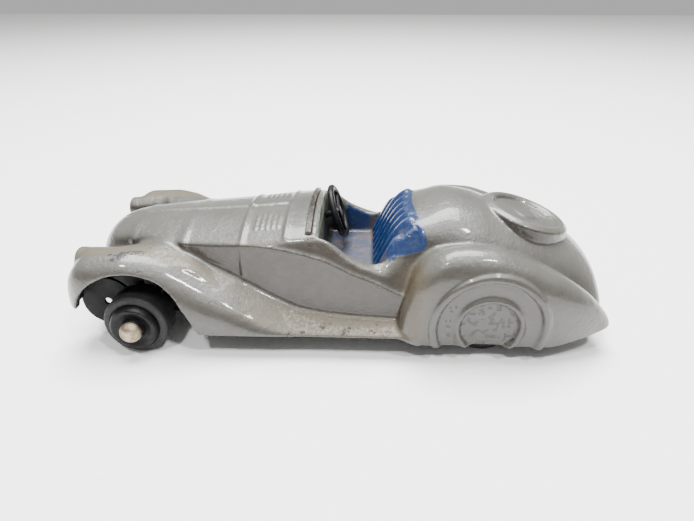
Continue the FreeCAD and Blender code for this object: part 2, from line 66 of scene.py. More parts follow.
def smooth_curve(value, stations):
    """A monotone cubic curve through (position, height) stations, read at every value."""
    knots = np.array([station[0] for station in stations], float)
    heights = np.array([station[1] for station in stations], float)
    steps = np.diff(knots)
    slopes = np.diff(heights) / steps
    tangents = np.zeros(len(knots))
    tangents[0], tangents[-1] = slopes[0], slopes[-1]
    same_way = slopes[:-1] * slopes[1:] > 0
    before, after = 2 * steps[1:] + steps[:-1], steps[1:] + 2 * steps[:-1]
    safe_first = np.where(same_way, slopes[:-1], 1.0)
    safe_second = np.where(same_way, slopes[1:], 1.0)
    blend = (before + after) / (before / safe_first + after / safe_second)
    tangents[1:-1] = np.where(same_way, blend, 0.0)
    value = np.clip(value, knots[0], knots[-1])
    index = np.clip(np.searchsorted(knots, value) - 1, 0, len(steps) - 1)
    step = steps[index]
    part = (value - knots[index]) / step
    rest = 1 - part
    return (heights[index] * (1 + 2 * part) * rest ** 2 + tangents[index] * step * part * rest ** 2
            + heights[index + 1] * part ** 2 * (3 - 2 * part) - tangents[index + 1] * step * part ** 2 * rest)


def smooth_union(first, second, width):
    """The union of two fields with a fillet of about the given width."""
    share = np.clip(0.5 + 0.5 * (second - first) / width, 0, 1)
    return second + (first - second) * share - width * share * (1 - share)


def smooth_common(first, second, width):
    """The common part of two fields with its edge rounded by about the given width."""
    return -smooth_union(-first, -second, width)


def ramp(value, start, end):
    """0 before start, 1 after end, and smooth between."""
    part = np.clip((value - start) / (end - start), 0, 1)
    return part * part * (3 - 2 * part)


def bump(value, centre, width):
    """A smooth bump of height 1."""
    return np.exp(-((value - centre) / width) ** 2)


# --- The casting's form ------------------------------------------------------------------------

CROWN = [(-40.4, 8.8), (-39.4, 11.9), (-37.8, 14.3), (-34.2, 16.3), (-29.0, 17.0), (-23.0, 17.35),
         (-14.0, 18.05), (-3.5, 18.95), (4.0, 18.8), (10.8, 19.4), (16.6, 20.75), (20.0, 20.3), (24.0, 19.0),
         (28.0, 17.7), (33.0, 15.9), (36.5, 13.7), (39.0, 11.3), (TAIL_X, 7.6)]
ARCH = [(-40.0, 9.0), (-34.0, 13.0), (-23.0, 20.5), (-14.0, 24.0), (-3.0, 27.0), (6.0, 26.0), (14.0, 20.0),
        (30.0, 17.0), (TAIL_X, 15.0)]
SIDE = [(-40.4, 4.0), (-38.0, 5.0), (-34.0, 6.0), (-28.0, 7.5), (-23.0, 8.7), (-14.0, 10.0), (-3.0, 11.2),
        (5.0, 11.9), (10.0, 12.1), (16.0, 11.6), (22.0, 10.8), (30.0, 10.0), (36.0, 9.4), (TAIL_X, 8.6)]
SWAGE = [(-26.0, 17.6), (-16.0, 16.3), (-10.0, 15.7), (-2.7, 14.3), (1.3, 12.5), (5.4, 10.9), (10.0, 9.0),
         (14.0, 11.0), (20.0, 13.0), (30.0, 11.5), (TAIL_X, 6.0)]
WING_CREST = [(-38.0, 15.3), (-34.0, 15.5), (-31.0, 15.6), (-28.0, 15.3), (-25.4, 14.4), (-22.5, 12.8),
              (-19.8, 11.3), (-16.5, 9.9), (-12.9, 8.3), (-9.0, 6.8), (-5.6, 5.8), (0.0, 5.35), (12.0, 5.25)]
WING_TILT = [(-31.0, 0.0), (-28.0, 0.2), (-25.4, 0.4), (-19.8, 0.5), (-16.5, 0.6), (-12.9, 0.7), (-9.0, 0.58),
             (-5.6, 0.42), (0.0, 0.3), (12.0, 0.28)]
WING_NOSE = [(3.0, -40.2), (7.1, -40.8), (8.8, -40.65), (11.5, -39.75), (14.1, -38.2), (16.0, -36.6)]
WEB = [(-39.0, 10.4), (-37.0, 12.3), (-34.0, 13.2), (-28.0, 13.9), (-23.0, 13.4), (-18.0, 10.0), (-14.0, 4.0)]
FENDER_CREST = [(9.0, 14.6), (12.0, 16.1), (15.0, 17.0), (18.5, 17.35), (21.5, 17.2), (25.0, 16.3),
                (28.0, 15.1), (32.0, 13.0), (36.0, 10.3), (39.0, 7.6), (TAIL_X, 5.4)]
FENDER_FRONT = [(2.0, 8.4), (3.7, 8.6), (7.0, 9.1), (9.5, 9.8), (13.0, 11.0), (15.4, 12.4), (17.5, 14.5)]
BOTTOM = [(-41.0, 4.3), (-38.0, 3.7), (8.5, 3.7), (12.0, 2.75), (31.0, 2.75), (34.5, 3.3), (TAIL_X, 4.3)]
DOOR = [(-3.1, 17.6), (-1.1, 16.3), (1.0, 14.6), (4.4, 13.0), (7.0, 12.25), (8.7, 12.4), (10.1, 13.3),
        (10.9, 14.4), (12.1, 16.3), (13.4, 18.6), (14.4, 22.0)]
SEAT = [(9.0, 5.0), (12.0, 6.3), (15.0, 7.7), (17.0, 8.8), (18.2, 9.8), (19.3, 11.1), (24.0, 13.0)]

WALL = 1.4
DASH_X = -3.1
FLOOR_Z = 9.4
TUB_HALF = 9.3
RIB_PITCH = 2.3
SPARE = {"x": 28.9, "z": 17.75, "radius": 6.95, "slope": math.radians(16.5)}
RING_Z = 6.2


def hull_field(x, a, z):
    """The bonnet, scuttle, doors and deck: an arched top over leaning sides."""
    crown = smooth_curve(x, CROWN) - a ** 2 / (2 * smooth_curve(x, ARCH))
    swage = smooth_curve(x, SWAGE)
    lean = np.where(z > swage, 0.5, 0.04) * (z - swage)
    side = smooth_curve(x, SIDE) - lean + 0.16 * bump(z, swage, 0.35) * ramp(x, -22.0, -16.0)
    rounding = 0.5 + 2.6 * ramp(x, 9, 18) + 1.3 * ramp(-x, 26, 36)
    form = smooth_common(z - crown, (a - side) * 0.92, rounding)
    nose = -40.35 + 0.026 * np.maximum(z - 5.0, 0) ** 2 + a ** 2 / 16
    form = smooth_common(form, nose - x, 1.2)
    return smooth_common(form, x - TAIL_X + a ** 2 / 150, 1.2)


def front_wing_field(x, a, z):
    """A front wing that flows back into the running board."""
    off = a - 12.0
    roll = 0.05 - 0.04 * ramp(x, -26, -14)
    top = smooth_curve(x, WING_CREST) - smooth_curve(x, WING_TILT) * off - roll * off ** 2
    outer = 15.9 - 0.1 * np.maximum(-35.5 - x, 0) ** 2
    width = 3.4 - 2.5 * ramp(x, -26, -8)
    form = smooth_common((z - top) * 0.9, a - outer, width)
    front = smooth_curve(z, WING_NOSE) + 0.05 * (a - 12.5) ** 2
    form = smooth_common(form, front - x, 1.6)
    inner = 9.0 - 9.0 * ramp(x, -33, -27)
    form = smooth_common(form, inner - a, 1.6)
    return smooth_common(form, x - 12.0, 0.5)


def web_field(x, a, z):
    """The web between the nose and the wings, with the headlamps faired into it."""
    web = smooth_common(z - smooth_curve(x, WEB), np.maximum(a - 12.0, -38.9 - x), 1.2)
    web = smooth_common(web, x + 14.0, 0.5)
    along = np.clip(x, -37.8, -33.0)
    radius = 1.95 - 0.12 * (along + 37.8)
    off_axis = (a - LAMP_Y) ** 2 + (z - LAMP_Z) ** 2
    lamp = np.sqrt((x - along) ** 2 + off_axis) - radius - 0.15 * bump(x, -38.7, 0.35)
    lens_face = -39.1 + 0.25 * ramp(-off_axis, -2.4, -1.9)
    return smooth_union(web, smooth_common(lamp, lens_face - x, 0.2), 0.8)


def spat_relief(x, z):
    """The raised rings on a spat, and the slight recess inside each of them."""
    radius = np.sqrt((x - REAR_AXLE_X) ** 2 + (z - RING_Z) ** 2)
    rings = 0.5 * ramp(radius, 7.2, 7.8) * ramp(-radius, -8.9, -8.4) + 0.5 * bump(radius, 4.6, 0.5)
    return rings - 0.22 * ramp(-radius, -8.0, -7.2) - 0.4 * ramp(-radius, -4.5, -3.9)


def rear_wing_field(x, a, z):
    """A rear wing with its wheel spat."""
    off = a - 12.2
    top = smooth_curve(x, FENDER_CREST) - np.where(off > 0, 0.11, 0.13) * off ** 2
    outer = SPAT_Y - 0.52 - 0.02 * np.maximum(x - 27.0, 0) ** 2 + spat_relief(x, z)
    form = smooth_common((z - top) * 0.92, a - outer, 3.0)
    front = smooth_curve(z, FENDER_FRONT) + 0.02 * (a - 12.0) ** 2
    form = smooth_common(form, front - x, 2.4)
    return smooth_common(form, x - TAIL_X + 0.05, 0.8)


def spare_field(x, y, z):
    """The round spare wheel cover let into the sloping tail."""
    along = (x - SPARE["x"]) * math.cos(SPARE["slope"]) - (z - SPARE["z"]) * math.sin(SPARE["slope"])
    up = (x - SPARE["x"]) * math.sin(SPARE["slope"]) + (z - SPARE["z"]) * math.cos(SPARE["slope"])
    radius = np.sqrt(along ** 2 + y ** 2)
    relief = 0.4 * bump(radius, 5.9, 0.6) - 0.4 * ramp(-radius, -5.4, -4.8) + 0.35 * ramp(-radius, -2.2, -1.6)
    disc = smooth_common(up - relief, radius - SPARE["radius"], 0.5)
    return smooth_common(disc, -3.4 - up, 0.3)


def panel_relief(x, a, z):
    """Cast beads, straps, louvres and the centre hinge on the bonnet."""
    above_wing = ramp(z, 5.0, 7.0) * (1 - ramp(a, 12.4, 13.0))
    on_top = ramp(a - smooth_curve(x, SIDE), -0.6, -1.4)
    beads = (0.14 + 0.1 * on_top) * bump(x, -14.5, 0.34) + 0.24 * on_top * bump(x, -8.0, 0.34)
    straps = 0.22 * (bump(x, -23.5, 0.7) + bump(x, -32.0, 0.6)) * bump(z, smooth_curve(x, CROWN) - 1.9, 1.4)
    slots = np.clip(np.cos(2 * math.pi * x / 0.85), 0, 1)
    louvres = (0.15 * slots * ramp(x, -13.4, -13.1) * ramp(-x, 9.0, 9.3)
               * ramp(a, 3.0, 3.6) * ramp(-a, -7.6, -7.0))
    hinge = 0.3 * bump(a, 0, 0.3) * ramp(-x, 8.0, 8.4) * ramp(x, -36.0, -34.0) * ramp(z, 12.0, 13.0)
    return above_wing * (beads * ramp(x, -16, -15) + straps) + louvres - hinge


def outer_field(x, y, z):
    """The whole outside of the casting, before anything is hollowed out."""
    a = np.abs(y)
    hull = hull_field(x, a, z) - panel_relief(x, a, z)
    form = smooth_union(hull, front_wing_field(x, a, z), 0.6)
    form = smooth_union(form, web_field(x, a, z), 0.9)
    form = smooth_union(form, rear_wing_field(x, a, z), 0.6)
    return smooth_union(form, spare_field(x, y, z), 0.3)


def seat_rib(y):
    """Rounded upright ribs with sharp valleys between them."""
    return 0.6 * np.abs(np.cos(math.pi * (y / RIB_PITCH + 0.5)))


def tub_field(x, y, z):
    """The room inside the cockpit, down to the floor and back to the seat."""
    a = np.abs(y)
    seat = smooth_curve(z, SEAT)
    room = smooth_common(x - seat, DASH_X - x, 0.5)
    room = smooth_common(room * 0.9, a - TUB_HALF, 0.6)
    return smooth_common(room, FLOOR_Z - z, 0.9)


def seat_zone(x, y, z):
    """1 on the seat back and over its top, up to where the deck begins."""
    a = np.abs(y)
    behind_floor = ramp(z, FLOOR_Z + 0.1, FLOOR_Z + 1.2)
    return behind_floor * ramp(x, 3.5, 5.2) * ramp(deck_edge(a) - x, 0.0, 1.6) * ramp(-a, -9.6, -9.0)


def deck_edge(a):
    """Where the seat's paint ends on the deck."""
    return 11.0 + 0.022 * a ** 2


def hollow_field(x, y, z, outer):
    """The hollow inside the casting, leaving an even wall, the cockpit tub and two posts."""
    a = np.abs(y)
    hollow = outer + WALL
    tub = np.maximum(np.maximum(x - smooth_curve(z, SEAT) - WALL, DASH_X - WALL - x),
                     np.maximum(a - TUB_HALF - WALL, FLOOR_Z - WALL - z))
    hollow = smooth_common(hollow, -tub, 0.4)
    jamb = np.maximum(np.maximum(np.abs(x - 9.5) - 5.5, 8.0 - a), 8.0 - z)
    nose_wall = np.maximum(np.abs(hull_field(x, a, z) + WALL / 2) - WALL / 2, x + 19.0)
    hollow = np.maximum(hollow, -np.minimum(jamb, nose_wall))
    for post_x in (-17.0, 33.0):
        hollow = np.maximum(hollow, 2.2 - np.sqrt((x - post_x) ** 2 + y ** 2))
    return hollow


def casting_field(x, y, z):
    """The finished casting: negative in the metal, positive outside it."""
    a = np.abs(y)
    outer = outer_field(x, y, z)
    form = outer - seat_zone(x, y, z) * seat_rib(y)
    form = smooth_common(form, smooth_curve(x, BOTTOM) - z, 0.5)
    ribs = seat_zone(x, y, z) * seat_rib(y)
    door = smooth_curve(x, DOOR) + 1.1 * ramp(x, 4.0, 8.0) * np.maximum(11.0 - a, 0) - z
    opening = np.maximum(door * 0.6, DASH_X - x) + ribs
    form = smooth_common(form, -opening, 0.4)
    room = tub_field(x, y, z) + ribs
    form = smooth_common(form, -room, 0.6)
    form = smooth_common(form, -hollow_field(x, y, z, outer), 0.4)
    arch = np.maximum(np.sqrt((x - FRONT_AXLE_X + 0.4) ** 2 + (z - WHEEL_ARCH_Z) ** 2) - WHEEL_ARCH_RADIUS,
                      10.8 - a)
    form = smooth_common(form, -arch, 0.4)
    front_edge = np.maximum(np.maximum(x + 22.4 + 0.46 * (z - 7.6), z - 7.6), np.maximum(-30.0 - x, 10.8 - a))
    form = smooth_common(form, -front_edge, 0.3)
    tip = np.maximum(np.maximum(z - 7.0, x + 34.0), 8.2 - a)
    form = smooth_common(form, -tip, 0.5)
    throat = np.maximum(np.maximum(z - 10.45, x + 31.5), np.maximum(6.2 - a, a - 10.95))
    throat = np.maximum(throat, np.minimum(z - 8.6, np.hypot(x + 36.05, z - 5.95) - 4.5))
    form = smooth_common(form, -throat, 0.3)
    axle_gap = np.maximum(np.abs(x - FRONT_AXLE_X) - 2.3, z - 7.1)
    form = np.maximum(form, -np.maximum(axle_gap, a - 9.5))
    slot = np.maximum(np.abs(x + 4.55) - 0.36, 18.05 - z - a ** 2 / 54)
    slot = np.maximum(slot, a - 9.05)
    form = np.maximum(form, -slot)
    column = np.hypot(y - 4.4, z - 15.4 - 0.325 * (x + 0.9)) - 0.62
    return np.maximum(form, -np.maximum(column, np.abs(x + 4.0) - 2.2))


# --- Meshing a field ---------------------------------------------------------------------------

def field_slope(field, points, reach=0.02):
    """The field's value and its slope at points."""
    value = field(*points.T)
    slope = np.empty_like(points)
    for axis in range(3):
        moved = points.copy()
        moved[:, axis] += reach
        slope[:, axis] = (field(*moved.T) - value) / reach
    return value, slope


def settle(field, points, limit, rounds=3):
    """Move points along the slope until they lie on the field's surface."""
    for _ in range(rounds):
        value, slope = field_slope(field, points)
        steep = np.maximum((slope ** 2).sum(1), 0.05)
        points = points - np.clip(value / steep, -limit, limit)[:, None] * slope
    return points


def surface_net(field, low, high, pitch):
    """A quad mesh of the field's zero surface: a vertex in each crossed cell, joined across edges."""
    axes = [np.arange(low[i], high[i] + pitch, pitch) for i in range(3)]
    shape = tuple(len(axis) for axis in axes)
    values = np.empty(shape)
    for index, station in enumerate(axes[0]):
        y, z = np.meshgrid(axes[1], axes[2], indexing="ij")
        values[index] = field(np.full_like(y, station), y, z)
    inside = values < 0
    cells = tuple(size - 1 for size in shape)
    total, weight = np.zeros(cells + (3,)), np.zeros(cells)
    edges = []
    for axis in range(3):
        first = [slice(None)] * 3
        second = [slice(None)] * 3
        first[axis], second[axis] = slice(None, -1), slice(1, None)
        here, there = values[tuple(first)], values[tuple(second)]
        crossed = inside[tuple(first)] != inside[tuple(second)]
        at = np.argwhere(crossed)
        part = here[crossed] / (here[crossed] - there[crossed])
        point = at.astype(float)
        point[:, axis] += part
        others = [i for i in range(3) if i != axis]
        for shift_a in (0, 1):
            for shift_b in (0, 1):
                cell = at.copy()
                cell[:, others[0]] -= shift_a
                cell[:, others[1]] -= shift_b
                good = np.all((cell >= 0) & (cell < cells), axis=1)
                index = tuple(cell[good].T)
                np.add.at(total, index, point[good])
                np.add.at(weight, index, 1)
        edges.append((axis, others, at, inside[tuple(first)][crossed]))
    used = weight > 0
    number = np.full(cells, -1)
    number[used] = np.arange(used.sum())
    points = total[used] / weight[used][:, None] * pitch + np.array([axis[0] for axis in axes])
    quads = []
    for axis, others, at, starts_inside in edges:
        corners = []
        for shift_a, shift_b in ((1, 1), (0, 1), (0, 0), (1, 0)):
            cell = at.copy()
            cell[:, others[0]] -= shift_a
            cell[:, others[1]] -= shift_b
            corners.append(number[tuple(cell.T)])
        quad = np.stack(corners, axis=1)
        flip = starts_inside if axis != 1 else ~starts_inside
        quads.append(np.where(flip[:, None], quad, quad[:, ::-1]))
    return points, np.concatenate(quads)


def relax(points, quads, rounds, field, limit):
    """Even out the net: pull each point towards its neighbours, then back onto the surface."""
    first = quads.ravel()
    second = np.roll(quads, -1, axis=1).ravel()
    for _ in range(rounds):
        total, weight = np.zeros_like(points), np.zeros(len(points))
        for start, end in ((first, second), (second, first)):
            np.add.at(total, start, points[end])
            np.add.at(weight, start, 1)
        points = points + 0.5 * (total / weight[:, None] - points)
        points = settle(field, points, limit, 1)
    return points


def mesh_object(name, points, faces):
    """A mesh object from points in metres."""
    mesh = bpy.data.meshes.new(name)
    mesh.from_pydata(points.tolist(), [], faces.tolist())
    mesh.validate()
    mesh.polygons.foreach_set("use_smooth", [True] * len(mesh.polygons))
    piece = bpy.data.objects.new(name, mesh)
    bpy.context.scene.collection.objects.link(piece)
    return piece


def apply_modifiers(piece):
    """Turn a piece and its modifiers into a plain mesh."""
    evaluated = piece.evaluated_get(bpy.context.evaluated_depsgraph_get())
    mesh = bpy.data.meshes.new_from_object(evaluated)
    piece.modifiers.clear()
    piece.data = mesh
    return piece


def mesh_points(mesh):
    """A mesh's vertices in millimetres, and their normals."""
    points = np.empty(len(mesh.vertices) * 3)
    mesh.vertices.foreach_get("co", points)
    normals = np.empty(len(mesh.vertices) * 3)
    mesh.vertices.foreach_get("normal", normals)
    return points.reshape(-1, 3) / MM, normals.reshape(-1, 3)


def paint_attribute(mesh, name, values):
    """A value for each vertex, for the materials to read."""
    attribute = mesh.attributes.new(name, "FLOAT", "POINT")
    attribute.data.foreach_set("value", np.clip(values, 0, 1).astype(np.float32))


# --- Materials -----------------------------------------------------------------------------------

def linear(hex_colour):
    """An sRGB hex colour as linear RGBA."""
    channels = [int(hex_colour[i:i + 2], 16) / 255 for i in (1, 3, 5)]
    return [c / 12.92 if c <= 0.04045 else ((c + 0.055) / 1.055) ** 2.4 for c in channels] + [1.0]


class Finish:
    """A node material under construction."""

    def __init__(self, name, **shader):
        self.material = bpy.data.materials.new(name)
        self.material.use_nodes = True
        self.tree = self.material.node_tree
        self.shader = self.tree.nodes["Principled BSDF"]
        for socket, value in shader.items():
            self.shader.inputs[socket.replace("_", " ")].default_value = value
        self.coordinates = self.tree.nodes.new("ShaderNodeTexCoord").outputs["Object"]

    def node(self, kind, inputs=None, **settings):
        """Add a node, set it up and link its inputs; sockets and plain values both go in inputs."""
        made = self.tree.nodes.new(kind)
        for key, value in settings.items():
            setattr(made, key, value)
        for key, value in (inputs or {}).items():
            if isinstance(value, bpy.types.NodeSocket):
                self.tree.links.new(value, made.inputs[key])
            else:
                made.inputs[key].default_value = value
        return made

    def noise(self, size_mm, detail=3.0, roughness=0.55, stretch=(1, 1, 1)):
        """Noise whose blotches are about size_mm across."""
        mapping = self.node("ShaderNodeMapping", {"Vector": self.coordinates, "Scale": stretch})
        return self.node("ShaderNodeTexNoise", {
            "Vector": mapping.outputs[0], "Scale": 1 / (size_mm * MM),
            "Detail": detail, "Roughness": roughness,
        }).outputs["Fac"]

    def between(self, value, low, high, to_low=0.0, to_high=1.0):
        """Stretch a value's range, with both ends held."""
        return self.node("ShaderNodeMapRange", {
            0: value, 1: low, 2: high, 3: to_low, 4: to_high,
        }, clamp=True).outputs[0]

    def maths(self, operation, first, second=0.0):
        """A sum, product or other operation on two values, held from 0 to 1."""
        node = self.node("ShaderNodeMath", {0: first, 1: second}, operation=operation, use_clamp=True)
        return node.outputs[0]

    def mixed(self, share, first, second):
        """A colour between two colours."""
        return self.node("ShaderNodeMix", {0: share, 6: first, 7: second}, data_type="RGBA").outputs[2]

    def painted(self, name):
        """A vertex value of the piece."""
        return self.node("ShaderNodeAttribute", attribute_name=name).outputs["Fac"]

    def finish(self, colour=None, roughness=None, metallic=None, height=None, distance_mm=0.03, strength=0.6):
        """Link what was made to the shader."""
        for socket, value in (("Base Color", colour), ("Roughness", roughness), ("Metallic", metallic)):
            if value is not None:
                self.tree.links.new(value, self.shader.inputs[socket])
        if height is not None:
            bumped = self.node("ShaderNodeBump", {
                "Height": height, "Distance": distance_mm * MM, "Strength": strength})
            self.tree.links.new(bumped.outputs[0], self.shader.inputs["Normal"])
        return self.material


def casting_enamel(props):
    """Old sprayed stoving enamel over a zinc casting: soft gloss, grimy corners, chipped edges, painted shade
    on the upright sides and near-black painted shade in the hollows.
    """
    skin = Finish("worn_enamel", Coat_Roughness=0.07)
    # The last of these three is a dark brown painted as shade on upright faces.
    grey, dark_grey, side_shade = linear("#555550"), linear("#484742"), linear("#241B13")
    blue, blue_worn = linear("#04234E"), linear("#535E74")
    # The second of these three is a near-black colour painted as shade inside the hollows.
    dust, cavity_shade, metal = linear("#574D3A"), linear("#020202"), linear("#15151B")
    cream, floor_tan = linear("#656B5E"), linear("#474248")
    clouds = skin.noise(9.0, 4.0)
    fine = skin.noise(0.5, 5.0, 0.65)
    grain = skin.noise(1.6, 5.0, 0.62)
    colour = skin.mixed(skin.between(clouds, 0.35, 0.7), grey, dark_grey)
    # Painted shade: upright faces are darkened towards a dark brown, standing for the shade on the car's
    # sides.
    side_shade_mask = skin.maths("MULTIPLY", skin.painted("side_shade"), skin.between(grain, 0.2, 0.6, 0.75, 1.0))
    colour = skin.mixed(side_shade_mask, colour, side_shade)
    crease, edge = skin.painted("crease"), skin.painted("edge")
    seat, tub, inner, dash = (skin.painted(name) for name in ("seat", "tub", "inner", "dash"))
    blue_spread = skin.mixed(skin.between(fine, 0.5, 0.75, 0.0, 0.2), blue, blue_worn)
    rib_wear = skin.maths("MULTIPLY", skin.painted("rib"), skin.between(grain, 0.42, 0.58, 0.0, 0.75))
    seat_colour = skin.mixed(rib_wear, blue_spread, blue_worn)
    colour = skin.mixed(skin.between(seat, 0.42, 0.58), colour, seat_colour)
    carpet = skin.mixed(skin.between(skin.noise(3.0, 4.0), 0.42, 0.6), linear("#2F3A50"), floor_tan)
    colour = skin.mixed(skin.maths("MULTIPLY", tub, skin.between(grain, 0.3, 0.62, 0.7, 1.0)), colour, carpet)
    colour = skin.mixed(dash, colour, cream)
    grime = skin.maths("MULTIPLY", crease, skin.between(grain, 0.25, 0.6, 0.35, 1.0))
    colour = skin.mixed(skin.maths("MULTIPLY", grime, 0.75), colour, dust)
    settled = skin.maths("MULTIPLY", skin.painted("dust"), skin.between(fine, 0.35, 0.6, 0.6, 0.95))
    colour = skin.mixed(settled, colour, dust)
    chip_noise = skin.noise(1.3, 6.0, 0.7)
    rub = skin.maths("MULTIPLY", edge, skin.between(chip_noise, 0.58, 0.66))
    spots = skin.between(skin.noise(1.5, 2.0, 0.5), 0.74, 0.77)
    marked = skin.maths("MULTIPLY", skin.painted("stain"), 0.4)
    stain = skin.between(skin.maths("ADD", skin.noise(0.8, 2.0, 0.5), marked), 0.78, 0.82)
    chips = skin.maths("MAXIMUM", skin.maths("MAXIMUM", rub, spots), stain)
    colour = skin.mixed(skin.maths("MULTIPLY", chips, 0.8), colour, metal)
    # Painted shade: the wheel wells, the hidden inside of the casting and the space under the dash are
    # painted near-black for the shade there.
    colour = skin.mixed(inner, colour, cavity_shade)
    dullness = skin.maths("ADD", skin.maths("MULTIPLY", grime, 0.5), skin.maths("MULTIPLY", fine, 0.5))
    dullness = skin.maths("MAXIMUM", skin.maths("MAXIMUM", dullness, settled), inner)
    roughness = skin.between(dullness, 0.1, 0.9, props.gloss_roughness, props.gloss_roughness + 0.4)
    coat = skin.maths("MULTIPLY", skin.between(dullness, 0.3, 0.8, 0.4, 0.0),
                      skin.between(inner, 0.0, 0.5, 1.0, 0.0))
    skin.tree.links.new(coat, skin.shader.inputs["Coat Weight"])
    lumps = skin.maths("ADD", skin.maths("MULTIPLY", grain, 0.45), skin.maths("MULTIPLY", clouds, 0.3))
    height = skin.maths("SUBTRACT", skin.maths("ADD", skin.maths("MULTIPLY", fine, 0.25), lumps),
                        skin.maths("MULTIPLY", chips, 0.3))
    return skin.finish(colour, roughness, None, height, 0.3, 0.9)


def black_paint(name, base_hex, worn_hex, roughness):
    """Thin black paint on metal: nearly dry gloss, rubbed grey where it is handled."""
    skin = Finish(name, Specular_IOR_Level=0.2)
    grain = skin.noise(0.8, 5.0, 0.65)
    clouds = skin.noise(3.0, 3.0)
    worn = skin.between(grain, 0.52, 0.74, 0.0, 0.6)
    colour = skin.mixed(worn, linear(base_hex), linear(worn_hex))
    rough = skin.between(clouds, 0.3, 0.7, roughness, roughness + 0.2)
    return skin.finish(colour, rough, None, grain, 0.05, 0.5)


def tyre_rubber():
    """Aged smooth rubber: dull, with a grey bloom and fine grit."""
    skin = Finish("aged_rubber")
    bloom = skin.between(skin.noise(2.0, 4.0), 0.4, 0.7)
    grit = skin.noise(0.25, 3.0, 0.6)
    colour = skin.mixed(bloom, linear("#070708"), linear("#151417"))
    rough = skin.between(grit, 0.3, 0.7, 0.55, 0.8)
    return skin.finish(colour, rough, None, grit, 0.04, 0.5)


def axle_steel():
    """Plain bright-drawn steel gone dull: warm grey with fine turning marks and stains."""
    skin = Finish("dull_steel", Metallic=1.0)
    stain = skin.between(skin.noise(0.7, 4.0), 0.4, 0.68)
    marks = skin.noise(0.12, 2.0, 0.5, (1.0, 6.0, 1.0))
    colour = skin.mixed(stain, linear("#A89A84"), linear("#6E6252"))
    rough = skin.between(marks, 0.3, 0.7, 0.42, 0.62)
    return skin.finish(colour, rough, None, marks, 0.01, 0.4)


def screen_celluloid():
    """Aged celluloid browned to amber, with dark dried glue along it."""
    skin = Finish("brown_celluloid", Coat_Weight=0.1, Coat_Roughness=0.2)
    blotch = skin.between(skin.noise(0.7, 5.0, 0.6), 0.5, 0.62)
    colour = skin.mixed(blotch, linear("#120C07"), linear("#4A3D28"))
    rough = skin.between(blotch, 0.0, 1.0, 0.35, 0.6)
    return skin.finish(colour, rough, None, blotch, 0.08, 0.6)


def studio_paper(name, hex_colour):
    """Matt background paper."""
    skin = Finish(name, Specular_IOR_Level=0.1)
    fibre = skin.noise(3.0, 3.0)
    colour = skin.mixed(skin.between(fibre, 0.3, 0.7), linear(hex_colour), linear("#FBFBFA"))
    return skin.finish(colour, skin.between(fibre, 0.0, 1.0, 0.85, 0.95))


# --- Sizes and colours a user would change -------------------------------------------------------

class RoadsterCasting(bpy.types.PropertyGroup):
    pitch: FloatProperty(name="Net pitch", description="Spacing of the casting's mesh, in millimetres",
                         default=0.27, min=0.15, max=1.0)
    triangles: IntProperty(name="Triangles", description="Most triangles the casting is thinned to",
                           default=185000, min=20000)
    gloss_roughness: FloatProperty(name="Gloss", description="Roughness of the cleanest enamel",
                                   default=0.26, min=0.0, max=1.0, subtype="FACTOR")
    bars: IntProperty(name="Grille bars", description="How many upright bars the nose has", default=9, min=2)
    bar_spacing: FloatProperty(name="Bar spacing", description="Gap from bar to bar", default=0.00062,
                               min=0.0001, unit="LENGTH")
    bar_radius: FloatProperty(name="Bar radius", description="Half the thickness of a bar", default=0.00017,
                              min=0.00005, unit="LENGTH")


class RoadsterStudio(bpy.types.PropertyGroup):
    lens: FloatProperty(name="Lens", description="Focal length of the camera", default=26.97, unit="CAMERA")
    eye: FloatVectorProperty(name="Camera", description="Where the camera stands, in millimetres",
                             default=(3.8, -77.0, 50.3), subtype="XYZ")
    pitch: FloatProperty(name="Pitch", description="How far the camera looks down",
                         default=math.radians(28.6), subtype="ANGLE")
    yaw: FloatProperty(name="Yaw", description="How far the camera turns towards the nose",
                       default=math.radians(2.3), subtype="ANGLE")
    key: FloatProperty(name="Key light", description="Power of the overhead light", default=0.5, unit="POWER")
    room: FloatProperty(name="Room light", description="Strength of the light from all around", default=0.5,
                        min=0.0)
    floor: FloatProperty(name="Floor size", description="Side of the pale floor", default=1.6, unit="LENGTH")


# --- Operators -------------------------------------------------------------------------------------

